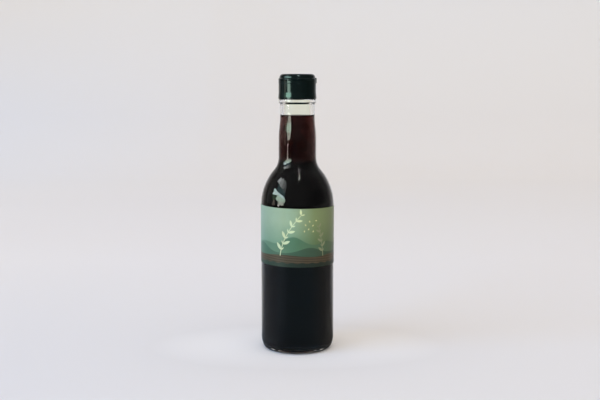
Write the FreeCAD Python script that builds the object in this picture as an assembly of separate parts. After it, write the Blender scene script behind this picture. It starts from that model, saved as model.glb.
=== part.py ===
import FreeCAD, Part
import math
import os

from FreeCAD import Vector

# Clear glass bottle of sesame oil, closed by a flip-top cap and dressed with a wrap-round
# paper label. Millimetres. The bottle stands on z = 0 with its axis on Z. The front of the label
# faces -Y, the cap's thumb tab +X and its hinge -X.

# Glass, foot and body
BODY_DIAMETER = 58.5
BODY_HEIGHT = 116.3            # from the table to where the shoulder starts to curve in
HEEL_CORNER_RADIUS = 4.0       # tight corner at the foot
HEEL_SWEEP_RADIUS = 20.0       # long curve between that corner and the upright wall
HEEL_SWEEP_ANGLE = 22.0        # degrees turned by the long curve
FOOT_RING_WIDTH = 2.0          # flat ring that the bottle stands on
FOOT_RING_ROUNDING = 1.2       # inner edge of that ring
PUSH_UP = 3.5                  # rise of the hollow under the base

# Glass, shoulder and neck
SHOULDER_RADIUS = 44.0         # convex curve of the shoulder
SHOULDER_BLEND_RADIUS = 15.4   # hollow curve that runs into the neck
NECK_DIAMETER = 30.0
NECK_LENGTH = 14.0             # straight neck between the shoulder and the taper
TAPER_RADIUS = 75.0            # both curves of the taper from the neck to the throat
THROAT_DIAMETER = 27.6
THROAT_LENGTH = 9.2            # straight throat between the taper and the transfer bead

# Glass, transfer bead (the ring that shows under the cap) and finish (the mouth inside the cap)
BEAD_REACH = 1.0               # how far the bead stands out from the throat
BEAD_HEIGHT = 3.7
BEAD_SLOPE = 1.5               # height of its sloped underside
BEAD_ROUNDING = 0.55
BEAD_FILLET = 0.6              # hollow corner where the bead grows out of the throat
FINISH_STEP = 1.4              # how far the finish stands in from the throat
FINISH_HEIGHT = 11.0           # from the top of the bead to the lip
FINISH_ROUNDING = 0.8
LOCK_RING_REACH = 0.9          # ring that the cap snaps over
LOCK_RING_HEIGHT = 3.0
LOCK_RING_DEPTH = 2.6          # from the lip down to the ring

# Glass, inside
WALL = 2.7
BASE_THICKNESS = 2.2           # glass over the middle of the push-up
FLOOR_DOME_RADIUS = 70.0
FLOOR_CORNER_RADIUS = 6.5
FINISH_WALL = 2.4              # glass between the finish and the bore
BORE_BLEND_RADIUS = 150.0      # both long curves that narrow the neck's hollow to the bore

# Oil
HEADSPACE = 23.4               # from the lip down to the oil's surface

# Label
LABEL_HEIGHT = 46.2
LABEL_RISE = 0.7               # how far its upper edge passes the start of the shoulder
LABEL_THICKNESS = 0.12
LABEL_GLUE = 0.05              # adhesive between glass and paper
LABEL_GAP = 9.0                # bare glass between the label's ends, at the back
LABEL_LEAN = 1.0               # degrees by which the label sits lower towards +X

# Cap, lower part
CAP_WALL = 1.25
CAP_CLEARANCE = 0.3            # between the skirt and the glass ring that it snaps over
CAP_BEAD_GAP = 0.2             # between the skirt's edge and the transfer bead
DECK_THICKNESS = 1.6           # deck that seals the mouth
BAND_REACH = 0.3               # band round the skirt's edge
BAND_HEIGHT = 1.6
BAND_SLOPE = 3.6               # height over which the wall runs out to the band
SNAP_REACH = 0.7               # ring inside the skirt that locks under the glass
SNAP_HEIGHT = 1.6
SNAP_CLEARANCE = 0.15
PLUG_LENGTH = 4.0              # sealing plug in the bore
PLUG_WALL = 1.1
PLUG_CLEARANCE = 0.05
SPIGOT_HEIGHT = 1.6            # low rim that the lid closes over
SPIGOT_WALL = 1.0
CAP_ROUNDING = 0.25            # outer edges of the lower part and of the lid's rim

# Cap, lid with its thumb tab and hinge web
LID_OVERHANG = 0.09            # how far the lid's rim stands out from the lower part
LID_HEIGHT = 7.3
LID_WALL = 1.3
LID_RIM_HEIGHT = 1.9           # upright rim at the parting line
BRIM_REACH = 0.09              # how far the side flares out above the rim, to the brim
BRIM_LEVEL = 3.4               # height of the brim above the parting line
BRIM_ROUNDING = 0.4
CROWN_STEP = 0.9               # height over which the side runs in from the brim to the crown
CROWN_INSET = 0.9              # how far the crown's side stands in from the brim
CROWN_ROUNDING = 2.8
LID_CLEARANCE = 0.15           # between the lid and the spigot
TAB_REACH = 0.42
TAB_RADIUS = 7.0
TAB_HEIGHT = 4.2
TAB_ROUNDING = 0.3
HINGE_WIDTH = 9.0
HINGE_THICKNESS = 0.7
HINGE_LENGTH = 2.2             # how far the web hangs below the parting line
HINGE_ROOT = 0.5               # how far it reaches into the lid's rim
HINGE_CLEARANCE = 0.1


def ogee_height(low_radius, high_radius, first, second):
    """Height taken by two tangent arcs that carry an upright wall from one radius to another."""
    span = first + second
    return math.sqrt(span ** 2 - (span - abs(low_radius - high_radius)) ** 2)


# Radii and levels that follow from the sizes above
AXIS = Vector(0, 0, 1)
ORIGIN = Vector(0, 0, 0)
BODY_RADIUS = BODY_DIAMETER / 2
NECK_RADIUS = NECK_DIAMETER / 2
THROAT_RADIUS = THROAT_DIAMETER / 2
BEAD_RADIUS = THROAT_RADIUS + BEAD_REACH
FINISH_RADIUS = THROAT_RADIUS - FINISH_STEP
LOCK_RING_RADIUS = FINISH_RADIUS + LOCK_RING_REACH
BORE_RADIUS = FINISH_RADIUS - FINISH_WALL
CAP_INNER_RADIUS = LOCK_RING_RADIUS + CAP_CLEARANCE
CAP_RADIUS = CAP_INNER_RADIUS + CAP_WALL
LID_RADIUS = CAP_RADIUS + LID_OVERHANG
LID_INNER_RADIUS = LID_RADIUS - LID_WALL
BRIM_RADIUS = LID_RADIUS + BRIM_REACH
CROWN_RADIUS = BRIM_RADIUS - CROWN_INSET

NECK_START = BODY_HEIGHT + ogee_height(
    BODY_RADIUS, NECK_RADIUS, SHOULDER_RADIUS, SHOULDER_BLEND_RADIUS)
TAPER_START = NECK_START + NECK_LENGTH
THROAT_START = TAPER_START + ogee_height(NECK_RADIUS, THROAT_RADIUS, TAPER_RADIUS, TAPER_RADIUS)
BEAD_BOTTOM = THROAT_START + THROAT_LENGTH
BEAD_TOP = BEAD_BOTTOM + BEAD_HEIGHT
LIP = BEAD_TOP + FINISH_HEIGHT
BORE_START = NECK_START + ogee_height(
    NECK_RADIUS - WALL, BORE_RADIUS, BORE_BLEND_RADIUS, BORE_BLEND_RADIUS)
LOCK_RING_TOP = LIP - LOCK_RING_DEPTH
LOCK_RING_BOTTOM = LOCK_RING_TOP - LOCK_RING_HEIGHT
CAP_BOTTOM = BEAD_TOP + CAP_BEAD_GAP
PARTING = LIP + DECK_THICKNESS
LABEL_MIDDLE = BODY_HEIGHT + LABEL_RISE - LABEL_HEIGHT / 2


def spot(radius, height):
    """Point of a profile, from its distance to the axis and its height."""
    return Vector(radius, 0, height)


def line(start, end):
    return Part.LineSegment(start, end).toShape()


def arc(centre, radius, start_angle, end_angle):
    """Arc in the plane of a profile. Angles in degrees, 0 away from the axis and 90 up."""
    middle_angle = (start_angle + end_angle) / 2
    points = []
    for angle in (start_angle, middle_angle, end_angle):
        turn = math.radians(angle)
        points.append(centre + spot(radius * math.cos(turn), radius * math.sin(turn)))
    return Part.Arc(*points).toShape()


def ogee(low_radius, high_radius, start, first, second, inset=0.0):
    """Two tangent arcs that carry an upright wall from one radius to another on its way up.

    All sizes are those of the outer skin. The arcs lie inset from it, round the same centres.
    """
    side = math.copysign(1, low_radius - high_radius)
    height = ogee_height(low_radius, high_radius, first, second)
    lean = math.degrees(math.asin(height / (first + second)))
    outward = 0 if side > 0 else 180
    return [
        arc(spot(low_radius - side * first, start), first - side * inset,
            outward, outward + side * lean),
        arc(spot(high_radius + side * second, start + height), second + side * inset,
            outward + 180 + side * lean, outward + 180),
    ]


def rounded_path(corners):
    """Straight runs through corners of (radius, height, rounding), with tangent arcs at them."""
    edges = []
    here = spot(*corners[0][:2])
    for before, corner, after in zip(corners, corners[1:], corners[2:]):
        point = spot(*corner[:2])
        rounding = corner[2]
        if rounding == 0:
            edges.append(line(here, point))
            here = point
            continue
        back = (spot(*before[:2]) - point).normalize()
        ahead = (spot(*after[:2]) - point).normalize()
        half_angle = back.getAngle(ahead) / 2
        run = rounding / math.tan(half_angle)
        to_middle = rounding / math.sin(half_angle) - rounding
        middle = point + (back + ahead).normalize() * to_middle
        edges.append(line(here, point + back * run))
        edges.append(Part.Arc(point + back * run, middle, point + ahead * run).toShape())
        here = point + ahead * run
    edges.append(line(here, spot(*corners[-1][:2])))
    return edges


def revolved(edges):
    """Solid turned from the edges of one closed profile."""
    profile = Part.Wire(Part.sortEdges(edges)[0])
    return Part.Face(profile).revolve(ORIGIN, AXIS, 360)


def turned_disc(radius, bottom, top, rounding):
    """Disc about the axis with both of its edges rounded."""
    outline = [(0, bottom, 0), (radius, bottom, rounding), (radius, top, rounding), (0, top, 0)]
    return revolved(rounded_path(outline) + [line(spot(0, top), spot(0, bottom))])


def curved_bar(inner_radius, outer_radius, bottom, top, width):
    """Piece of a tube wall centred on the -X side, as wide as given along the lower part."""
    angle = math.degrees(width / CAP_RADIUS)
    ring = Part.makeCylinder(outer_radius, top - bottom, spot(0, bottom), AXIS, angle)
    ring = ring.cut(Part.makeCylinder(inner_radius, top - bottom, spot(0, bottom)))
    ring.rotate(ORIGIN, AXIS, 180 - angle / 2)
    return ring


def foot():
    """Underside of the glass from the axis out: push-up, standing ring, and the heel's curves."""
    sweep = math.radians(HEEL_SWEEP_ANGLE)
    corner = (BODY_RADIUS - HEEL_SWEEP_RADIUS * (1 - math.cos(sweep))
              - HEEL_CORNER_RADIUS * math.cos(sweep))
    heel_top = HEEL_CORNER_RADIUS * (1 - math.sin(sweep)) + HEEL_SWEEP_RADIUS * math.sin(sweep)
    ring = corner - FOOT_RING_WIDTH
    dome = (ring ** 2 - 2 * FOOT_RING_ROUNDING * PUSH_UP + PUSH_UP ** 2) / (2 * PUSH_UP)
    dome_lean = math.degrees(math.asin(ring / (dome + FOOT_RING_ROUNDING)))
    return [
        arc(spot(0, PUSH_UP - dome), dome, 90, 90 - dome_lean),
        arc(spot(ring, FOOT_RING_ROUNDING), FOOT_RING_ROUNDING, 270 - dome_lean, 270),
        line(spot(ring, 0), spot(corner, 0)),
        arc(spot(corner, HEEL_CORNER_RADIUS), HEEL_CORNER_RADIUS, -90, -HEEL_SWEEP_ANGLE),
        arc(spot(BODY_RADIUS - HEEL_SWEEP_RADIUS, heel_top), HEEL_SWEEP_RADIUS,
            -HEEL_SWEEP_ANGLE, 0),
        line(spot(BODY_RADIUS, heel_top), spot(BODY_RADIUS, BODY_HEIGHT)),
    ]


def shoulder(inset):
    """Shoulder, inset from the outer skin."""
    return ogee(
        BODY_RADIUS, NECK_RADIUS, BODY_HEIGHT, SHOULDER_RADIUS, SHOULDER_BLEND_RADIUS, inset)


def neck():
    """Outside of the straight neck and of the taper above it."""
    return [
        line(spot(NECK_RADIUS, NECK_START), spot(NECK_RADIUS, TAPER_START)),
        *ogee(NECK_RADIUS, THROAT_RADIUS, TAPER_START, TAPER_RADIUS, TAPER_RADIUS),
    ]


def finish():
    """Outside from the foot of the throat up over the bead and locking ring, and into the bore."""
    ring_edge = LOCK_RING_REACH / 2
    return rounded_path([
        (THROAT_RADIUS, THROAT_START, 0),
        (THROAT_RADIUS, BEAD_BOTTOM, BEAD_FILLET),
        (BEAD_RADIUS, BEAD_BOTTOM + BEAD_SLOPE, BEAD_ROUNDING),
        (BEAD_RADIUS, BEAD_TOP, BEAD_ROUNDING),
        (FINISH_RADIUS, BEAD_TOP, FINISH_ROUNDING),
        (FINISH_RADIUS, LOCK_RING_BOTTOM, 0),
        (LOCK_RING_RADIUS, LOCK_RING_BOTTOM, ring_edge),
        (LOCK_RING_RADIUS, LOCK_RING_TOP, ring_edge),
        (FINISH_RADIUS, LOCK_RING_TOP, 0),
        (FINISH_RADIUS, LIP, FINISH_ROUNDING),
        (BORE_RADIUS, LIP, FINISH_ROUNDING),
        (BORE_RADIUS, BORE_START, 0),
    ])


def inside():
    """Cavity wall from the middle of the floor up to the foot of the straight bore."""
    floor_top = PUSH_UP + BASE_THICKNESS
    wall = BODY_RADIUS - WALL
    corner = wall - FLOOR_CORNER_RADIUS
    reach = FLOOR_DOME_RADIUS + FLOOR_CORNER_RADIUS
    dome_centre = floor_top - FLOOR_DOME_RADIUS
    corner_height = dome_centre + math.sqrt(reach ** 2 - corner ** 2)
    dome_lean = math.degrees(math.asin(corner / reach))
    return [
        arc(spot(0, dome_centre), FLOOR_DOME_RADIUS, 90, 90 - dome_lean),
        arc(spot(corner, corner_height), FLOOR_CORNER_RADIUS, -90 - dome_lean, 0),
        line(spot(wall, corner_height), spot(wall, BODY_HEIGHT)),
        *shoulder(WALL),
        *ogee(NECK_RADIUS - WALL, BORE_RADIUS, NECK_START, BORE_BLEND_RADIUS, BORE_BLEND_RADIUS),
    ]


def glass_bottle():
    """Blown bottle with its real wall: foot, body, neck and finish outside, the cavity inside."""
    base_middle = line(spot(0, PUSH_UP), spot(0, PUSH_UP + BASE_THICKNESS))
    return revolved(foot() + shoulder(0) + neck() + finish() + inside() + [base_middle])


def sesame_oil():
    """Everything inside the glass up to the surface of the oil."""
    closing = [
        line(spot(BORE_RADIUS, BORE_START), spot(BORE_RADIUS, LIP)),
        line(spot(BORE_RADIUS, LIP), spot(0, LIP)),
        line(spot(0, LIP), spot(0, PUSH_UP + BASE_THICKNESS)),
    ]
    cavity = revolved(inside() + closing)
    return cavity.common(Part.makeCylinder(BODY_RADIUS, LIP - HEADSPACE))


def label():
    """Paper strip wrapped round the body, open at the back and leaning a little."""
    inner = BODY_RADIUS + LABEL_GLUE
    outer = inner + LABEL_THICKNESS
    reach = BODY_DIAMETER
    tube_bottom = LABEL_MIDDLE - LABEL_HEIGHT
    tube = Part.makeCylinder(outer, 2 * LABEL_HEIGHT, spot(0, tube_bottom))
    tube = tube.cut(Part.makeCylinder(inner, 2 * LABEL_HEIGHT, spot(0, tube_bottom)))
    strip = Part.makeCylinder(reach, LABEL_HEIGHT, spot(0, LABEL_MIDDLE - LABEL_HEIGHT / 2))
    strip.rotate(spot(0, LABEL_MIDDLE), Vector(0, 1, 0), LABEL_LEAN)
    gap = Part.makeBox(LABEL_GAP, reach, 2 * LABEL_HEIGHT, Vector(-LABEL_GAP / 2, 0, tube_bottom))
    return tube.common(strip).cut(gap)


def cap_base():
    """Skirt that snaps over the glass, the deck and plug that seal it, and the lid's spigot."""
    band = CAP_RADIUS + BAND_REACH
    band_top = CAP_BOTTOM + BAND_HEIGHT
    spigot = LID_INNER_RADIUS - LID_CLEARANCE
    plug = BORE_RADIUS - PLUG_CLEARANCE
    snap = CAP_INNER_RADIUS - SNAP_REACH
    snap_top = LOCK_RING_BOTTOM - SNAP_CLEARANCE
    outside = rounded_path([
        (CAP_INNER_RADIUS, CAP_BOTTOM, 0),
        (band, CAP_BOTTOM, CAP_ROUNDING),
        (band, band_top, 0),
        (CAP_RADIUS, band_top + BAND_SLOPE, 0),
        (CAP_RADIUS, PARTING, CAP_ROUNDING),
        (spigot, PARTING, 0),
        (spigot, PARTING + SPIGOT_HEIGHT, CAP_ROUNDING),
        (spigot - SPIGOT_WALL, PARTING + SPIGOT_HEIGHT, CAP_ROUNDING),
        (spigot - SPIGOT_WALL, PARTING, 0),
        (0, PARTING, 0),
    ])
    underside = rounded_path([
        (0, PARTING, 0),
        (0, LIP, 0),
        (plug - PLUG_WALL, LIP, 0),
        (plug - PLUG_WALL, LIP - PLUG_LENGTH, CAP_ROUNDING),
        (plug, LIP - PLUG_LENGTH, CAP_ROUNDING),
        (plug, LIP, 0),
        (CAP_INNER_RADIUS, LIP, 0),
        (CAP_INNER_RADIUS, snap_top, 0),
        (snap, snap_top - SNAP_HEIGHT / 2, CAP_ROUNDING),
        (CAP_INNER_RADIUS, snap_top - SNAP_HEIGHT, 0),
        (CAP_INNER_RADIUS, CAP_BOTTOM, 0),
    ])
    hinge_seat = curved_bar(
        CAP_RADIUS - HINGE_THICKNESS - HINGE_CLEARANCE, LID_RADIUS,
        PARTING - HINGE_LENGTH - HINGE_CLEARANCE, PARTING, HINGE_WIDTH + 2 * HINGE_CLEARANCE)
    return revolved(outside + underside).cut(hinge_seat)


def cap_lid():
    """Lid, shut over the spigot, with its brim, the thumb tab and the web of its hinge."""
    crown_start = PARTING + BRIM_LEVEL + CROWN_STEP
    lid_top = PARTING + LID_HEIGHT
    crown_inner = CROWN_RADIUS - LID_WALL
    spigot_room = PARTING + SPIGOT_HEIGHT + LID_CLEARANCE
    body = revolved(rounded_path([
        (0, PARTING, 0),
        (LID_RADIUS, PARTING, CAP_ROUNDING),
        (LID_RADIUS, PARTING + LID_RIM_HEIGHT, 0),
        (BRIM_RADIUS, PARTING + BRIM_LEVEL, BRIM_ROUNDING),
        (CROWN_RADIUS, crown_start, BRIM_ROUNDING),
        (CROWN_RADIUS, lid_top, CROWN_ROUNDING),
        (0, lid_top, 0),
        (0, PARTING, 0),
    ]))
    tab = turned_disc(TAB_RADIUS, PARTING, PARTING + TAB_HEIGHT, TAB_ROUNDING)
    tab.translate(spot(LID_RADIUS + TAB_REACH - TAB_RADIUS, 0))
    hollow = revolved(rounded_path([
        (0, PARTING, 0),
        (LID_INNER_RADIUS, PARTING, 0),
        (LID_INNER_RADIUS, spigot_room, 0),
        (crown_inner, crown_start, 0),
        (crown_inner, lid_top - LID_WALL, CROWN_ROUNDING - LID_WALL),
        (0, lid_top - LID_WALL, 0),
        (0, PARTING, 0),
    ]))
    hinge = curved_bar(
        CAP_RADIUS - HINGE_THICKNESS, CAP_RADIUS,
        PARTING - HINGE_LENGTH, PARTING + HINGE_ROOT, HINGE_WIDTH)
    return body.fuse(tab).cut(hollow).fuse(hinge).removeSplitter()


os.makedirs("parts", exist_ok=True)
for make in (glass_bottle, sesame_oil, label, cap_base, cap_lid):
    make().exportStep("parts/" + make.__name__ + ".step")
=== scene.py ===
import math

import bmesh
import bpy
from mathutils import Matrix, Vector, noise


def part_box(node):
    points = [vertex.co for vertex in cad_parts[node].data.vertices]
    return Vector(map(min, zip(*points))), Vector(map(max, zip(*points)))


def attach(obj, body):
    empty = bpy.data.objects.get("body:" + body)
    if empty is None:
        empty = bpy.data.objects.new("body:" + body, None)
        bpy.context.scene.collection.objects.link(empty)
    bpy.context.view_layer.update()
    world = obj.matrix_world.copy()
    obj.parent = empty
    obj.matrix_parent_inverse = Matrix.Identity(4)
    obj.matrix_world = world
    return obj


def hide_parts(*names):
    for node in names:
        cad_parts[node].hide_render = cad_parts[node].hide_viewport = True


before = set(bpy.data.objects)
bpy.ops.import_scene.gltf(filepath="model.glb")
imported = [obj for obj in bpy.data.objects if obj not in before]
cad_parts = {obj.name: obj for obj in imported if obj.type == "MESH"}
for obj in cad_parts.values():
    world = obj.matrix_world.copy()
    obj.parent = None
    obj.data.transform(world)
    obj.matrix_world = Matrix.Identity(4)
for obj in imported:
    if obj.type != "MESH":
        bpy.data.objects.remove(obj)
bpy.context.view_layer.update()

# ---------------------------------------------------------------------------------------------
# The bottle. One piece of clear flint glass, blown in a two-part mould: push-up and standing ring
# underneath, heel, straight body, sloping shoulder, neck, transfer bead, and the mouth with its
# locking ring up inside the cap. The two halves of the mould leave a faint seam up each side.

glass_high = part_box("glass_bottle")[1]
body_radius = glass_high.x
lip_height = glass_high.z
body_height = 0.1163
push_up = 0.0035
foot_ring_width = 0.002
foot_ring_rounding = 0.0012
heel_corner_radius = 0.004
heel_sweep_radius = 0.020
heel_sweep_angle = 22.0
shoulder_radius = 0.0440
shoulder_blend_radius = 0.0154
neck_radius = 0.015
neck_length = 0.014
taper_radius = 0.075
throat_radius = 0.0138
throat_length = 0.0092
bead_radius = throat_radius + 0.001
bead_height = 0.0037
bead_slope = 0.0015
bead_fillet = 0.0006
bead_rounding = 0.00055
finish_radius = throat_radius - 0.0014
finish_rounding = 0.0008
lock_ring_radius = finish_radius + 0.0009
lock_ring_bottom = lip_height - 0.0056
lock_ring_top = lip_height - 0.0026
lock_ring_rounding = 0.00045
wall = 0.0027
base_thickness = 0.0022
floor_dome_radius = 0.070
floor_corner_radius = 0.0065
bore_radius = finish_radius - 0.0024
bore_blend_radius = 0.150
bore_top = lip_height - 0.0016
turns = 192                   # steps round the axis
wall_wander = 0.00012         # how far the blown wall strays from an even thickness
wander_start = 0.008          # height where it begins to stray
wander_run_in = 0.010
wander_run_out = 0.004        # below the bead
wander_round, wander_up = 55, 38      # how quickly it changes round the wall, and up it
even_middle = 0.009           # nothing nearer to the axis than this strays
ripple_depth = 0.00002
seam_height = 0.00003
knurl_height = 0.0002
flint_tint = (0.985, 0.995, 0.985)
wetted_tint = (0.960, 0.995, 0.875)


def arc(centre, radius, start_angle, end_angle, step=3.0):
    """Points of (distance to the axis, height) along an arc, with angles in degrees."""
    count = max(2, math.ceil(abs(end_angle - start_angle) / step))
    points = []
    for index in range(count + 1):
        turn = math.radians(start_angle + (end_angle - start_angle) * index / count)
        points.append((centre[0] + radius * math.cos(turn), centre[1] + radius * math.sin(turn)))
    return points


def ogee_height(low_radius, high_radius, first, second):
    """Height taken by two arcs that carry an upright wall from one radius to another."""
    span = first + second
    return math.sqrt(span ** 2 - (span - abs(low_radius - high_radius)) ** 2)


def ogee(low_radius, high_radius, start, first, second, inset=0.0):
    """Those two arcs on the way up, inset from an outer skin that has the sizes given."""
    side = math.copysign(1, low_radius - high_radius)
    height = ogee_height(low_radius, high_radius, first, second)
    lean = math.degrees(math.asin(height / (first + second)))
    outward = 0 if side > 0 else 180
    return [
        *arc((low_radius - side * first, start), first - side * inset, outward, outward + side * lean),
        *arc((high_radius + side * second, start + height), second + side * inset,
             outward + 180 + side * lean, outward + 180),
    ]


def rounded(corners, step=15.0):
    """Points along straight runs through (radius, height, rounding), with arcs at the corners."""
    points = [corners[0][:2]]
    for before, corner, after in zip(corners, corners[1:], corners[2:]):
        here = Vector(corner[:2])
        if corner[2] == 0:
            points.append(corner[:2])
            continue
        back = (Vector(before[:2]) - here).normalized()
        ahead = (Vector(after[:2]) - here).normalized()
        half_angle = back.angle(ahead) / 2
        middle = here + (back + ahead).normalized() * corner[2] / math.sin(half_angle)
        start = here + back * corner[2] / math.tan(half_angle) - middle
        end = here + ahead * corner[2] / math.tan(half_angle) - middle
        turn = start.angle_signed(end)
        count = max(2, math.ceil(math.degrees(abs(turn)) / step))
        for index in range(count + 1):
            angle = -turn * index / count
            points.append((
                middle.x + start.x * math.cos(angle) - start.y * math.sin(angle),
                middle.y + start.x * math.sin(angle) + start.y * math.cos(angle)))
    points.append(corners[-1][:2])
    return points


def straight(start, end, step=0.006):
    """Points up an upright run, close enough together to follow the wall's wander."""
    count = max(1, math.ceil(abs(end[1] - start[1]) / step))
    return [(start[0] + (end[0] - start[0]) * index / count,
             start[1] + (end[1] - start[1]) * index / count) for index in range(count + 1)]


def as_object(name, shape):
    """Smooth object of the shape that has been put together."""
    mesh = bpy.data.meshes.new(name)
    shape.to_mesh(mesh)
    shape.free()
    mesh.shade_smooth()
    piece = bpy.data.objects.new(name, mesh)
    bpy.context.scene.collection.objects.link(piece)
    return piece


def turned(name, profile, steps, stray=None):
    """Object turned about the axis from a profile that begins and ends on it."""
    spots = [profile[0]]
    for spot in profile[1:]:
        if math.dist(spot, spots[-1]) > 1e-6:
            spots.append(spot)
    shape = bmesh.new()
    rings = []
    for index, (radius, height) in enumerate(spots):
        if radius < 1e-7:
            rings.append([shape.verts.new((0, 0, height))])
            continue
        ring = []
        for step in range(steps):
            turn = 2 * math.pi * step / steps
            reach = radius + (stray(index, spots, turn) if stray else 0)
            ring.append(shape.verts.new((reach * math.cos(turn), reach * math.sin(turn), height)))
        rings.append(ring)
    for lower, upper in zip(rings, rings[1:]):
        for step in range(steps):
            after = (step + 1) % steps
            if len(lower) == 1:
                shape.faces.new((lower[0], upper[step], upper[after]))
            elif len(upper) == 1:
                shape.faces.new((lower[step], upper[0], lower[after]))
            else:
                shape.faces.new((lower[step], upper[step], upper[after], lower[after]))
    bmesh.ops.recalc_face_normals(shape, faces=shape.faces)
    return as_object(name, shape)


neck_start = body_height + ogee_height(
    body_radius, neck_radius, shoulder_radius, shoulder_blend_radius)
taper_start = neck_start + neck_length
throat_start = taper_start + ogee_height(neck_radius, throat_radius, taper_radius, taper_radius)
bead_bottom = throat_start + throat_length
bead_top = bead_bottom + bead_height
bore_start = neck_start + ogee_height(
    neck_radius - wall, bore_radius, bore_blend_radius, bore_blend_radius)


def shoulder(inset):
    """Shoulder's two arcs, from the straight body up to the neck."""
    return ogee(body_radius, neck_radius, body_height, shoulder_radius, shoulder_blend_radius, inset)


def neck():
    """Outside of the neck, tapering up to the throat."""
    return [
        *straight((neck_radius, neck_start), (neck_radius, taper_start)),
        *ogee(neck_radius, throat_radius, taper_start, taper_radius, taper_radius),
    ]


def inside(inset):
    """Wall of the hollow, from the middle of its floor up to the foot of the bore."""
    reach = wall - inset
    side = body_radius - inset
    corner = body_radius - wall - floor_corner_radius
    dome_centre = push_up + base_thickness - floor_dome_radius
    span = floor_dome_radius + floor_corner_radius
    corner_height = dome_centre + math.sqrt(span ** 2 - corner ** 2)
    lean = math.degrees(math.asin(corner / span))
    neck = neck_radius - wall
    return [
        *arc((0, dome_centre), floor_dome_radius - reach, 90, 90 - lean, 1.5),
        *arc((corner, corner_height), floor_corner_radius + reach, -90 - lean, 0, 4),
        *straight((side, corner_height), (side, body_height)),
        *shoulder(inset),
        *ogee(neck, bore_radius, neck_start, bore_blend_radius, bore_blend_radius, -reach),
        *straight((bore_radius + reach, bore_start), (bore_radius + reach, bore_top)),
    ]


def foot():
    """Underside from the axis out, and the heel up to the straight body."""
    sweep = math.radians(heel_sweep_angle)
    corner = (body_radius - heel_sweep_radius * (1 - math.cos(sweep))
              - heel_corner_radius * math.cos(sweep))
    heel_top = heel_corner_radius * (1 - math.sin(sweep)) + heel_sweep_radius * math.sin(sweep)
    ring = corner - foot_ring_width
    dome = (ring ** 2 - 2 * foot_ring_rounding * push_up + push_up ** 2) / (2 * push_up)
    lean = math.degrees(math.asin(ring / (dome + foot_ring_rounding)))
    return [
        *arc((0, push_up - dome), dome, 90, 90 - lean, 1.0),
        *arc((ring, foot_ring_rounding), foot_ring_rounding, 270 - lean, 270, 4),
        *arc((corner, heel_corner_radius), heel_corner_radius, -90, -heel_sweep_angle, 5),
        *arc((body_radius - heel_sweep_radius, heel_top), heel_sweep_radius, -heel_sweep_angle, 0, 1.5),
        *straight((body_radius, heel_top), (body_radius, body_height)),
    ]


finish = rounded([
    (throat_radius, throat_start, 0),
    (throat_radius, bead_bottom, bead_fillet),
    (bead_radius, bead_bottom + bead_slope, bead_rounding),
    (bead_radius, bead_top, bead_rounding),
    (finish_radius, bead_top, finish_rounding),
    (finish_radius, lock_ring_bottom, 0),
    (lock_ring_radius, lock_ring_bottom, lock_ring_rounding),
    (lock_ring_radius, lock_ring_top, lock_ring_rounding),
    (finish_radius, lock_ring_top, 0),
    (finish_radius, lip_height, finish_rounding),
    (bore_radius, lip_height, finish_rounding),
    (bore_radius, bore_top, 0),
])
glass_profile = [*foot(), *shoulder(0), *neck(), *finish, *reversed(inside(wall))]


def blown_stray(index, spots, turn):
    """The inner wall wanders a little, as blown glass does, and never at the bore or the floor."""
    radius, height = spots[index]
    top = max(spots, key=lambda spot: spot[1])[1]
    past_lip = index > max(step for step, spot in enumerate(spots) if spot[1] > top - 1e-6)
    if not past_lip or height > bead_bottom or radius < even_middle:
        return 0.0
    fade = min(1.0, max(0.0, (height - wander_start) / wander_run_in),
               (bead_bottom - height) / wander_run_out)
    place = Vector((math.cos(turn) * radius * wander_round, math.sin(turn) * radius * wander_round,
                    height * wander_up))
    return wall_wander * fade * noise.noise(place)


glass = turned("glass", glass_profile, turns, blown_stray)


def put(socket, value):
    """Sets a shader socket to a value, or links what another node gives it."""
    if isinstance(value, bpy.types.NodeSocket):
        socket.id_data.links.new(value, socket)
    else:
        socket.default_value = value


def calc(tree, operation, *values, clamp=False):
    """Result of one sum on numbers or sockets."""
    node = tree.nodes.new("ShaderNodeMath")
    node.operation = operation
    node.use_clamp = clamp
    for socket, value in zip(node.inputs, values):
        put(socket, value)
    return node.outputs[0]


def texture(tree, kind, place, output="Fac", **settings):
    """Result of a pattern laid out by a position."""
    node = tree.nodes.new(kind)
    put(node.inputs["Vector"], place)
    for name, value in settings.items():
        put(node.inputs[name.replace("_", " ").title()], value)
    return node.outputs[output]


def band(tree, value, low, high):
    """0 below low and 1 above high, or the other way round, with an even run between."""
    return calc(tree, "MULTIPLY_ADD", value, 1 / (high - low), -low / (high - low), clamp=True)


def relief(tree, height, distance=1.0):
    """Normal that shows a height given in metres."""
    node = tree.nodes.new("ShaderNodeBump")
    node.inputs["Distance"].default_value = distance
    put(node.inputs["Height"], height)
    return node.outputs["Normal"]


def axes_of(tree, place):
    """The three parts of a position, as X, Y and Z."""
    split = tree.nodes.new("ShaderNodeSeparateXYZ")
    put(split.inputs[0], place)
    return split.outputs


def finish_of(name, **settings):
    """New material, with its tree and its main shader."""
    material = bpy.data.materials.new(name)
    material.use_nodes = True
    shader = material.node_tree.nodes["Principled BSDF"]
    for socket, value in settings.items():
        shader.inputs[socket.replace("_", " ")].default_value = value
    return material, material.node_tree, shader


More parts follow.
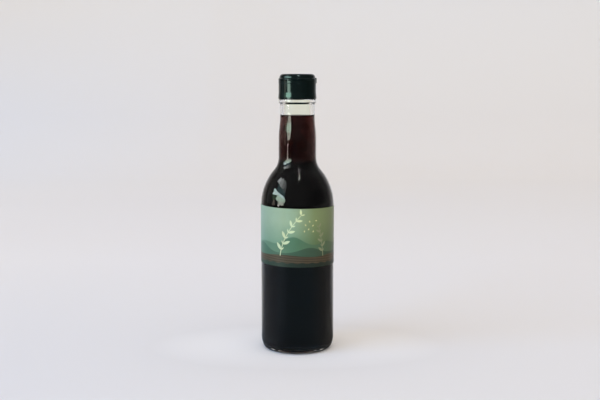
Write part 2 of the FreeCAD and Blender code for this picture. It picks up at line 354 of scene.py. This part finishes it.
def flint_glass(name, tint, mirrors):
    """Clear glass with the soft ripple, side seams and knurled foot of a blown bottle."""
    material, tree, shader = finish_of(name, Transmission_Weight=1.0, Roughness=0.0, IOR=1.52)
    shader.inputs["Base Color"].default_value = (*tint, 1)
    shader.inputs["Specular Tint"].default_value = (mirrors, mirrors, mirrors, 1)
    place = tree.nodes.new("ShaderNodeTexCoord").outputs["Object"]
    axes = axes_of(tree, place)
    ripple = texture(tree, "ShaderNodeTexNoise", place, Scale=45.0, Detail=1.0)
    aside = calc(tree, "ABSOLUTE", axes["Y"])
    seam = calc(tree, "MULTIPLY", band(tree, aside, 0.00035, 0.00010), seam_height)
    knurl = texture(tree, "ShaderNodeTexVoronoi", place, "Distance", Scale=900.0)
    at_foot = band(tree, axes["Z"], 0.0010, 0.0004)
    knurled = calc(tree, "MULTIPLY", calc(tree, "MULTIPLY", knurl, at_foot), knurl_height)
    height = calc(tree, "MULTIPLY_ADD", ripple, ripple_depth, calc(tree, "ADD", seam, knurled))
    put(shader.inputs["Normal"], relief(tree, height))
    return material


glass.data.materials.append(flint_glass("clear_flint_glass", flint_tint, mirrors=1.0))
glass.data.materials.append(flint_glass("flint_glass_wetted_by_oil", wetted_tint, mirrors=0.0))
for face in glass.data.polygons:
    reach = Vector(face.center.xy).length
    inward = Vector(face.center.xy).dot(face.normal.xy) < 0 or face.normal.z > 0.9
    underneath = face.normal.z < -0.01 and face.center.z < body_height / 2
    if inward and not underneath and reach < body_radius - wall / 2:
        face.material_index = 1
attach(glass, "root")
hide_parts("glass_bottle")

# ---------------------------------------------------------------------------------------------
# The oil. Dark toasted sesame oil, poured in up to the top of the neck. It is clear red-brown in a
# thin layer and black in the body, and its surface climbs the glass a little all round.

oil_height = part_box("sesame_oil")[1].z
floor_height = push_up + base_thickness
oil_reach = 0.0002            # how far it is let into the glass, so that no air shows between
level = oil_height - 0.0002   # surface away from the glass
climb = 0.0004                # how high the surface climbs at the glass
climb_width = 0.0016
surface_rings = 12
oil_depth_colour = (0.51, 0.17, 0.10, 1)
oil_density = 400.0

walls = inside(wall - oil_reach)
edge_height = level + climb
edge_radius = min(spot[0] for spot in walls if floor_height < spot[1] < edge_height)
surface = []
for index in range(surface_rings + 1):
    radius = edge_radius * (1 - (1 - index / surface_rings) ** 2)
    surface.append((radius, level + climb * math.exp((radius - edge_radius) / climb_width)))
poured = [spot for spot in walls if spot[1] < edge_height]
oil = turned("oil", [*surface, *reversed(poured)], turns)
sesame, tree, shader = finish_of(
    "toasted_sesame_oil", Transmission_Weight=1.0, Roughness=0.0, IOR=1.47)
shader.inputs["Base Color"].default_value = (1, 1, 1, 1)
shader.inputs["Specular Tint"].default_value = (0, 0, 0, 1)
depth = tree.nodes.new("ShaderNodeVolumeAbsorption")
depth.inputs["Color"].default_value = oil_depth_colour
depth.inputs["Density"].default_value = oil_density
put(tree.nodes["Material Output"].inputs["Volume"], depth.outputs[0])
oil.data.materials.append(sesame)
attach(oil, "root")
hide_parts("sesame_oil")

# ---------------------------------------------------------------------------------------------
# The cap. Two parts of dark green polypropylene from one mould, joined by a thin web at the back:
# a skirt pressed over the bottle's mouth, and a domed lid with a thumb tab. Both are glossy, with
# the faint unevenness of moulded plastic.

deep_green = (0.0006, 0.0034, 0.0028, 1)
light_green = (0.0013, 0.0055, 0.0045, 1)
moulded_grain = 0.000015      # height of the skin's unevenness


def over(tree, below, above, cover):
    """Lays one colour over another where cover is 1."""
    mix = tree.nodes.new("ShaderNodeMix")
    mix.data_type = "RGBA"
    put(mix.inputs["Factor"], cover)
    put(mix.inputs["A"], below)
    put(mix.inputs["B"], above)
    return mix.outputs["Result"]


def moulded_green(name, grain):
    """Glossy dark green plastic, with grain as the fineness of its skin."""
    material, tree, shader = finish_of(name, Roughness=0.2, IOR=1.55)
    shader.inputs["Specular Tint"].default_value = (0.74, 1, 1, 1)
    place = tree.nodes.new("ShaderNodeTexCoord").outputs["Object"]
    cloud = texture(tree, "ShaderNodeTexNoise", place, Scale=180.0, Detail=3.0)
    put(shader.inputs["Base Color"], over(tree, deep_green, light_green, cloud))
    put(shader.inputs["Roughness"], calc(tree, "MULTIPLY_ADD", cloud, 0.10, 0.10))
    skin = texture(tree, "ShaderNodeTexNoise", place, Scale=grain, Detail=2.0)
    put(shader.inputs["Normal"], relief(tree, calc(tree, "MULTIPLY", skin, moulded_grain)))
    return material


for node, grain in (("cap_base", 700.0), ("cap_lid", 500.0)):
    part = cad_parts[node]
    part.data.materials.clear()
    part.data.materials.append(moulded_green("moulded_green_" + node, grain))

# ---------------------------------------------------------------------------------------------
# The label. A strip of coated paper glued round the body, open at the back and a touch askew. Its
# print lies in level bands from mint to olive: hills, a ploughed strip, a hedge, two sesame stalks.

label_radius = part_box("label")[1].x
paper = 0.00012
label_gap = 0.009             # left open at the back
label_lean = math.radians(1.0)
label_height = 0.0462
label_top = body_height + 0.0007
label_middle = label_top - label_height / 2
round_steps = 240
up_steps = 24
half_wrap = math.pi - math.asin(label_gap / 2 / label_radius)

shape = bmesh.new()
across = shape.loops.layers.uv.new("print")
grid = {}
for side, radius in enumerate((label_radius, label_radius - paper)):
    for column in range(round_steps + 1):
        turn = half_wrap * (2 * column / round_steps - 1)
        x, y = radius * math.sin(turn), -radius * math.cos(turn)
        for row in range(up_steps + 1):
            up = label_height * (row / up_steps - 0.5)
            height = label_middle + up - x * math.tan(label_lean)
            grid[side, column, row] = shape.verts.new((x, y, height))


def patch(side, corners):
    """Face through (column, row) of one side, or (column, row, side) along the strip's edges."""
    face = shape.faces.new([
        grid[side if len(spot) == 2 else spot[2], spot[0], spot[1]] for spot in corners])
    for loop, spot in zip(face.loops, corners):
        wrap = half_wrap * (2 * spot[0] / round_steps - 1) * label_radius
        loop[across].uv = (wrap * 1000, label_height * spot[1] / up_steps * 1000)


for column in range(round_steps):
    for row in range(up_steps):
        patch(0, [(column, row), (column + 1, row), (column + 1, row + 1), (column, row + 1)])
        patch(1, [(column, row), (column, row + 1), (column + 1, row + 1), (column + 1, row)])
for column in range(round_steps):
    patch(0, [(column, 0, 0), (column, 0, 1), (column + 1, 0, 1), (column + 1, 0, 0)])
    patch(0, [(column, up_steps, 0), (column + 1, up_steps, 0),
              (column + 1, up_steps, 1), (column, up_steps, 1)])
for row in range(up_steps):
    patch(0, [(0, row, 0), (0, row + 1, 0), (0, row + 1, 1), (0, row, 1)])
    patch(0, [(round_steps, row, 0), (round_steps, row, 1),
              (round_steps, row + 1, 1), (round_steps, row + 1, 0)])
label = as_object("paper_label", shape)
label.data.set_sharp_from_angle(angle=math.radians(40))

printed, tree, shader = finish_of("printed_label_paper", Roughness=0.4, IOR=1.45)
wrapped = tree.nodes.new("ShaderNodeUVMap")
wrapped.uv_map = "print"
s, t = axes_of(tree, wrapped.outputs[0])[:2]      # millimetres right of the front, and up


def ink(red, green, blue):
    """Colour from the usual 0 to 255 scale of a colour chart."""
    return (*(((part / 255 + 0.055) / 1.055) ** 2.4 if part > 10 else part / 3294.6
              for part in (red, green, blue)), 1)


wash_reach = 40               # millimetres to each side of the front that a wash runs over


def wash(*stops):
    """Colour that changes along the strip, through (millimetres from the front, *ink)."""
    ramp = tree.nodes.new("ShaderNodeValToRGB")
    put(ramp.inputs["Fac"], band(tree, s, -wash_reach, wash_reach))
    while len(ramp.color_ramp.elements) < len(stops):
        ramp.color_ramp.elements.new(0.5)
    for element, (place, *mixed) in zip(ramp.color_ramp.elements, stops):
        element.position = (place + wash_reach) / (2 * wash_reach)
        element.color = ink(*mixed)
    return ramp.outputs["Color"]


def leaf(centre, half_length, half_width, turn, edge=0.12):
    """1 inside a leaf shape that points along turn, in degrees."""
    cosine, sine = math.cos(math.radians(turn)), math.sin(math.radians(turn))
    along_start = -(centre[0] * cosine + centre[1] * sine) / half_length
    aside_start = centre[0] * sine - centre[1] * cosine
    along = calc(tree, "MULTIPLY_ADD", t, sine / half_length, along_start)
    along = calc(tree, "MULTIPLY_ADD", s, cosine / half_length, along)
    aside = calc(tree, "MULTIPLY_ADD", t, cosine, aside_start)
    aside = calc(tree, "ABSOLUTE", calc(tree, "MULTIPLY_ADD", s, -sine, aside))
    outward = calc(tree, "MULTIPLY_ADD", aside, 1 / half_width, calc(tree, "MULTIPLY", along, along))
    return calc(tree, "MULTIPLY_ADD", outward, -half_width / edge, half_width / edge + 0.5, clamp=True)


def all_of(masks):
    """1 where any of the masks is 1."""
    total = masks[0]
    for mask in masks[1:]:
        total = calc(tree, "MAXIMUM", total, mask)
    return total


def hill(base, mounds, edge=0.25):
    """1 below a skyline of a level with mounds of (middle, height, half width) on it."""
    skyline = base
    for middle, height, half_width in mounds:
        off = calc(tree, "MULTIPLY_ADD", s, 1 / half_width, -middle / half_width)
        bell = calc(tree, "EXPONENT", calc(tree, "MULTIPLY", calc(tree, "MULTIPLY", off, off), -1.0))
        skyline = calc(tree, "MULTIPLY_ADD", bell, height, skyline)
    return calc(tree, "MULTIPLY_ADD", calc(tree, "SUBTRACT", skyline, t), 1 / edge, 0.5, clamp=True)


colour = over(
    tree,
    wash((-38, 130, 162, 137), (-6, 112, 154, 120), (16, 98, 122, 80), (36, 106, 122, 90)),
    wash((-38, 152, 176, 152), (-8, 164, 190, 154), (14, 134, 152, 102), (36, 118, 130, 94)),
    band(tree, t, 17, 36))
far_hills = hill(17.0, [(-29, 2.0, 9.0), (-3, 7.0, 10.0), (26, 3.0, 8.0)], 0.8)
colour = over(tree, colour, wash((-38, 106, 142, 116), (0, 88, 128, 94), (36, 88, 104, 76)), far_hills)
near_hills = hill(11.0, [(-34, 6.5, 10.0), (10, 4.5, 11.0)], 0.5)
colour = over(tree, colour, wash((-38, 82, 120, 96), (0, 68, 98, 74), (36, 64, 78, 60)), near_hills)
field = hill(8.0, [(-10, 1.6, 16.0), (30, 1.2, 10.0)], 0.3)
furrow = calc(tree, "SINE", calc(tree, "MULTIPLY_ADD", t, 3.4, calc(tree, "MULTIPLY", s, 0.12)))
ploughed = calc(tree, "MULTIPLY_ADD", furrow, 0.5, 0.5)
colour = over(tree, colour, over(tree, ink(70, 61, 44), ink(92, 79, 58), ploughed), field)
hedge = hill(2.2, [(-84 + 8 * index, 1.5, 3.2) for index in range(22)], 0.4)
colour = over(tree, colour, wash((-38, 52, 74, 58), (0, 38, 52, 40), (36, 44, 54, 42)), hedge)
stem_edge = (0.44, 0.24)      # half widths where its colour begins and is full
leaf_turn, leaf_width = 46, 0.36
pod_turn, pod_width, pod_size = 34, 0.30, 0.52


def stalk(root, rise, bend, steps, pitch, size):
    """Sesame stalk with leaves on both sides in turn, and pods opposite them."""
    up = calc(tree, "SUBTRACT", t, root[1])
    line = calc(tree, "MULTIPLY_ADD", calc(tree, "MULTIPLY_ADD", up, bend, rise), up, root[0])
    off_line = calc(tree, "ABSOLUTE", calc(tree, "SUBTRACT", s, line))
    top = root[1] + pitch * steps
    between = calc(tree, "MULTIPLY", band(tree, t, root[1] - 0.2, root[1] + 0.2),
                   band(tree, t, top, top - 0.4))
    stem = calc(tree, "MULTIPLY", band(tree, off_line, *stem_edge), between)
    shapes = [stem]
    for index in range(1, steps + 1):
        reach = pitch * index
        lean = math.degrees(math.atan2(1, rise + 2 * bend * reach))
        foot_of_leaf = (root[0] + (rise + bend * reach) * reach, root[1] + reach)
        side = 1 if index % 2 else -1
        for turn, length, width in (
                (lean + side * leaf_turn, size * (1.15 - 0.05 * index), leaf_width),
                (lean - side * pod_turn, size * pod_size, pod_width)):
            middle = (foot_of_leaf[0] + length * math.cos(math.radians(turn)),
                      foot_of_leaf[1] + length * math.sin(math.radians(turn)))
            shapes.append(leaf(middle, length, length * width, turn))
    return all_of(shapes)


colour = over(
    tree, colour,
    wash((-38, 198, 212, 170), (-12, 212, 226, 178), (-2, 222, 236, 184),
         (6, 222, 230, 168), (32, 190, 192, 134)),
    stalk((-14.0, 8.8), 0.14, 0.0120, 7, 4.6, 3.1))
colour = over(
    tree, colour, wash((0, 150, 160, 118), (14, 144, 150, 112), (32, 140, 146, 114)),
    stalk((22.0, 8.4), -0.06, -0.0050, 6, 3.8, 2.4))
seed_spots = ((6.5, 33.5), (9.8, 36.2), (9.0, 30.2), (12.6, 33.0), (5.6, 28.6), (12.8, 28.4),
              (15.4, 36.8))
seeds = [leaf(spot, 0.85, 0.48, 47 * spot[0]) for spot in seed_spots]
colour = over(tree, colour, ink(220, 218, 156), all_of(seeds))


def colour_of(tree, red, green, blue):
    """Colour from its three parts."""
    node = tree.nodes.new("ShaderNodeCombineColor")
    for channel, part in zip(node.inputs, (red, green, blue)):
        put(channel, part)
    return node.outputs[0]


place = tree.nodes.new("ShaderNodeTexCoord").outputs["Object"]
grain = texture(tree, "ShaderNodeTexNoise", place, Scale=1800.0, Detail=2.0)
mottle = texture(tree, "ShaderNodeTexNoise", place, Scale=120.0, Detail=3.0)
shade = tree.nodes.new("ShaderNodeMix")
shade.data_type = "RGBA"
shade.blend_type = "MULTIPLY"
shade.inputs["Factor"].default_value = 1.0
put(shade.inputs["A"], colour)
paper_tone = calc(tree, "MULTIPLY_ADD", mottle, 0.16, calc(tree, "MULTIPLY_ADD", grain, 0.08, 0.88))
put(shade.inputs["B"], colour_of(tree, paper_tone, paper_tone, paper_tone))
put(shader.inputs["Base Color"], shade.outputs["Result"])
put(shader.inputs["Roughness"], calc(tree, "MULTIPLY_ADD", mottle, 0.15, 0.30))
put(shader.inputs["Normal"], relief(tree, calc(
    tree, "MULTIPLY_ADD", mottle, 0.00003, calc(tree, "MULTIPLY", grain, 0.000004))))
label.data.materials.append(printed)
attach(label, "root")
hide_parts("label")

# ---------------------------------------------------------------------------------------------
# The set. A pale paper floor that sweeps up into a backdrop, with soft light from the room. Glossy
# surfaces mirror a dimmer room, with the panes of a window on the left wall and six small ceiling
# lamps that show in reflections only. A panel that is not mirrored gives the window's light.

sweep_start, sweep_radius, sweep_steps = 1.3, 0.6, 24
set_half_width, set_front, set_height = 4.0, -4.0, 3.5
run = [(set_front, 0.0), (sweep_start, 0.0)]
for index in range(1, sweep_steps + 1):
    turn = math.pi / 2 * index / sweep_steps
    run.append((sweep_start + sweep_radius * math.sin(turn), sweep_radius * (1 - math.cos(turn))))
run.append((sweep_start + sweep_radius, set_height))
shape = bmesh.new()
columns = [[shape.verts.new((x, y, z)) for y, z in run] for x in (-set_half_width, set_half_width)]
for index in range(len(run) - 1):
    shape.faces.new((columns[0][index], columns[1][index],
                     columns[1][index + 1], columns[0][index + 1]))
backdrop = as_object("backdrop", shape)


def vector_calc(tree, operation, place, *others, output="Vector"):
    """Result of one sum on a position."""
    node = tree.nodes.new("ShaderNodeVectorMath")
    node.operation = operation
    for socket, value in zip(node.inputs, (place, *others)):
        put(socket, value)
    return node.outputs[output]


def both(tree, first, second):
    """Product of two masks."""
    return calc(tree, "MULTIPLY", first, second)


pale, tree, shader = finish_of("pale_backdrop_paper", Roughness=0.9)
place = tree.nodes.new("ShaderNodeTexCoord").outputs["Object"]
x, y, z = axes_of(tree, place)
cloud = texture(tree, "ShaderNodeTexNoise", place, Scale=1.2, Detail=2.0)
# Painted light and shade on the paper. Its tone varies at random and is painted by zone: darker close in
# front and more so at the front left, lighter on the far floor, on the upright backdrop and round the
# bottle's base, and cooler at the far left.
painted_shade_nearby = band(tree, y, 0.35, -0.10)
painted_shade_near_left = both(tree, painted_shade_nearby, band(tree, x, 0.0, -0.22))
painted_cool_light_far_left = both(tree, band(tree, y, 0.5, 1.3), band(tree, x, 0.0, -0.8))
from_base = vector_calc(tree, "LENGTH", vector_calc(tree, "MULTIPLY", place, (1, 1.8, 1)), output="Value")
tone = over(tree, (0.76, 0.755, 0.79, 1), (0.80, 0.785, 0.775, 1), cloud)
for zone_tone, zone in (
        # painted shade close in front
        ((0.751, 0.741, 0.750, 1), painted_shade_nearby),
        # painted shade at the front left
        ((0.714, 0.713, 0.740, 1), painted_shade_near_left),
        # painted light on the far floor
        ((0.845, 0.825, 0.805, 1), band(tree, y, 0.9, 1.9)),
        # painted cool light at the far left
        ((0.80, 0.83, 0.90, 1), painted_cool_light_far_left),
        # painted light on the upright backdrop
        ((0.915, 0.90, 0.88, 1), band(tree, z, 0.12, 0.42)),
        # painted light round the bottle's base, where its shadow falls
        ((0.90, 0.895, 0.905, 1), band(tree, from_base, 0.12, 0.035))):
    tone = over(tree, tone, zone_tone, zone)

# What a glossy surface mirrors of the paper: dim at the sides, brighter far behind the bottle, and
# a little tinted close by at the left and in front.
left_tint, front_tint = (0.16, 0.18, 0.21), (0.07, 0.12, 0.15)
toward = axes_of(tree, vector_calc(tree, "NORMALIZE", place))
glow = calc(tree, "MULTIPLY_ADD", band(tree, toward["X"], 0.6, 1.0), 0.11, 0.07)
glow = calc(tree, "MULTIPLY_ADD", band(tree, toward["Y"], 0.5, 1.0), 0.90, glow)
close = band(tree, vector_calc(tree, "LENGTH", place, output="Value"), 1.2, 0.6)
to_left = both(tree, band(tree, toward["X"], -0.45, -0.85), close)
in_front = both(tree, band(tree, toward["Y"], -0.2, -0.8), close)
mirrored = []
for left_share, front_share in zip(left_tint, front_tint):
    tinted = calc(tree, "MULTIPLY_ADD", to_left, left_share, glow)
    mirrored.append(calc(tree, "MULTIPLY_ADD", in_front, front_share, tinted))


def only_mirrored(tree):
    """1 for light that a glossy surface throws back, 0 for what is seen straight or through glass."""
    ray = tree.nodes.new("ShaderNodeLightPath")
    straight_through = calc(tree, "SUBTRACT", 1.0, ray.outputs["Is Transmission Ray"])
    return calc(tree, "MULTIPLY", ray.outputs["Is Glossy Ray"], straight_through)


put(shader.inputs["Base Color"], over(tree, tone, colour_of(tree, *mirrored), only_mirrored(tree)))
shader.inputs["Specular IOR Level"].default_value = 0.0
backdrop.data.materials.append(pale)

world = bpy.data.worlds.new("room")
bpy.context.scene.world = world
world.use_nodes = True
tree = world.node_tree
toward = axes_of(tree, tree.nodes.new("ShaderNodeTexCoord").outputs["Generated"])
low_light, high_light = (0.39, 0.365, 0.335, 1), (1.32, 1.24, 1.15, 1)
overhead = over(tree, low_light, high_light, toward["Z"])
glow = calc(tree, "MULTIPLY_ADD", band(tree, toward["Y"], -0.1, 0.7), 0.12, 0.16)
glow = calc(tree, "MULTIPLY_ADD", band(tree, toward["X"], 0.3, 0.9), -0.09, glow)
room = over(tree, overhead, colour_of(tree, glow, glow, glow), only_mirrored(tree))
put(tree.nodes["Background"].inputs["Color"], room)


def panel(name, place, facing, sizes, radiance, colour, mirrored=True):
    """Flat source of soft light that is either mirrored only, or lights the room only."""
    lamp = bpy.data.lights.new(name, "AREA")
    lamp.shape = "RECTANGLE"
    lamp.size, lamp.size_y = sizes
    lamp.energy = radiance * math.pi * sizes[0] * sizes[1]
    lamp.color = colour
    lit = bpy.data.objects.new(name, lamp)
    lit.location = place
    lit.rotation_euler = Vector(facing).to_track_quat("-Z", "Y").to_euler()
    lit.visible_glossy = mirrored
    lit.visible_diffuse = not mirrored
    lit.visible_transmission = False
    bpy.context.scene.collection.objects.link(lit)


left_wall = -1.5
spot_size, spot_spacing, spot_radiance = 0.10, 0.13, 50.0
upper_panes = (               # near side, top and radiance, going nearer
    (-0.35, 1.60, 4.6), (-0.75, 1.84, 3.2), (-1.15, 1.98, 1.9), (-1.60, 2.05, 0.9))


def on_left_wall(name, sides, levels, radiance, colour, mirrored=True):
    """Upright panel on the left wall, from (far, near) and (bottom, top) in metres."""
    place = (left_wall, sum(sides) / 2, sum(levels) / 2)
    panel(name, place, (1, 0, 0), (sides[0] - sides[1], levels[1] - levels[0]), radiance, colour, mirrored)


on_left_wall("lower_pane_corner", (0.00, -0.36), (0.50, 0.77), 9.2, (0.78, 1.0, 1.0))
on_left_wall("lower_pane_top", (-0.36, -1.70), (0.58, 0.75), 9.6, (0.78, 1.0, 1.0))
on_left_wall("lower_pane", (-0.48, -1.82), (0.32, 0.58), 8.0, (0.76, 1.0, 0.80))
on_left_wall("lower_pane_foot", (-0.78, -1.55), (0.10, 0.32), 6.0, (0.95, 1.0, 0.84))
on_left_wall("greenery_outside", (-0.04, -0.46), (0.32, 0.50), 0.7, (0.55, 1.0, 0.60))
on_left_wall("far_mullion", (-0.16, -0.34), (0.06, 0.32), 1.7, (1.0, 0.80, 0.66))
on_left_wall("sill_glint", (-0.76, -0.85), (0.00, 0.06), 22.0, (1.0, 0.93, 0.88))
on_left_wall("sky_between_panes", (-0.30, -1.60), (0.77, 1.16), 0.75, (0.50, 0.95, 1.0))
for index, (near, top, radiance) in enumerate(upper_panes):
    on_left_wall(f"upper_pane_{index}", (near + 0.40, near), (1.14, top), radiance, (0.95, 1.0, 0.98))
on_left_wall("window_light", (-0.20, -2.00), (0.30, 1.20), 7.0, (0.30, 0.56, 1.0), mirrored=False)
for index in range(6):
    panel(f"ceiling_spot_{index}", (0.25, -1.0 - spot_spacing * index, 2.4), (0, 0, -1),
          (spot_size, spot_size), spot_radiance, (1.0, 1.0, 0.96))

# ---------------------------------------------------------------------------------------------
# The camera. It stands in front of the label, level with the cap and a hair to the right, and is
# tipped down a little.

camera_data = bpy.data.cameras.new("camera")
camera_data.lens = 57.0
camera_data.sensor_width = 36.0
camera = bpy.data.objects.new("camera", camera_data)
camera.location = (0.0021, -0.7569, 0.2185)
camera_tip = 7.4              # degrees below level
camera.rotation_euler = (math.radians(90 - camera_tip), 0, 0)
bpy.context.scene.collection.objects.link(camera)
bpy.context.scene.camera = camera
bpy.context.scene.view_settings.view_transform = "Standard"
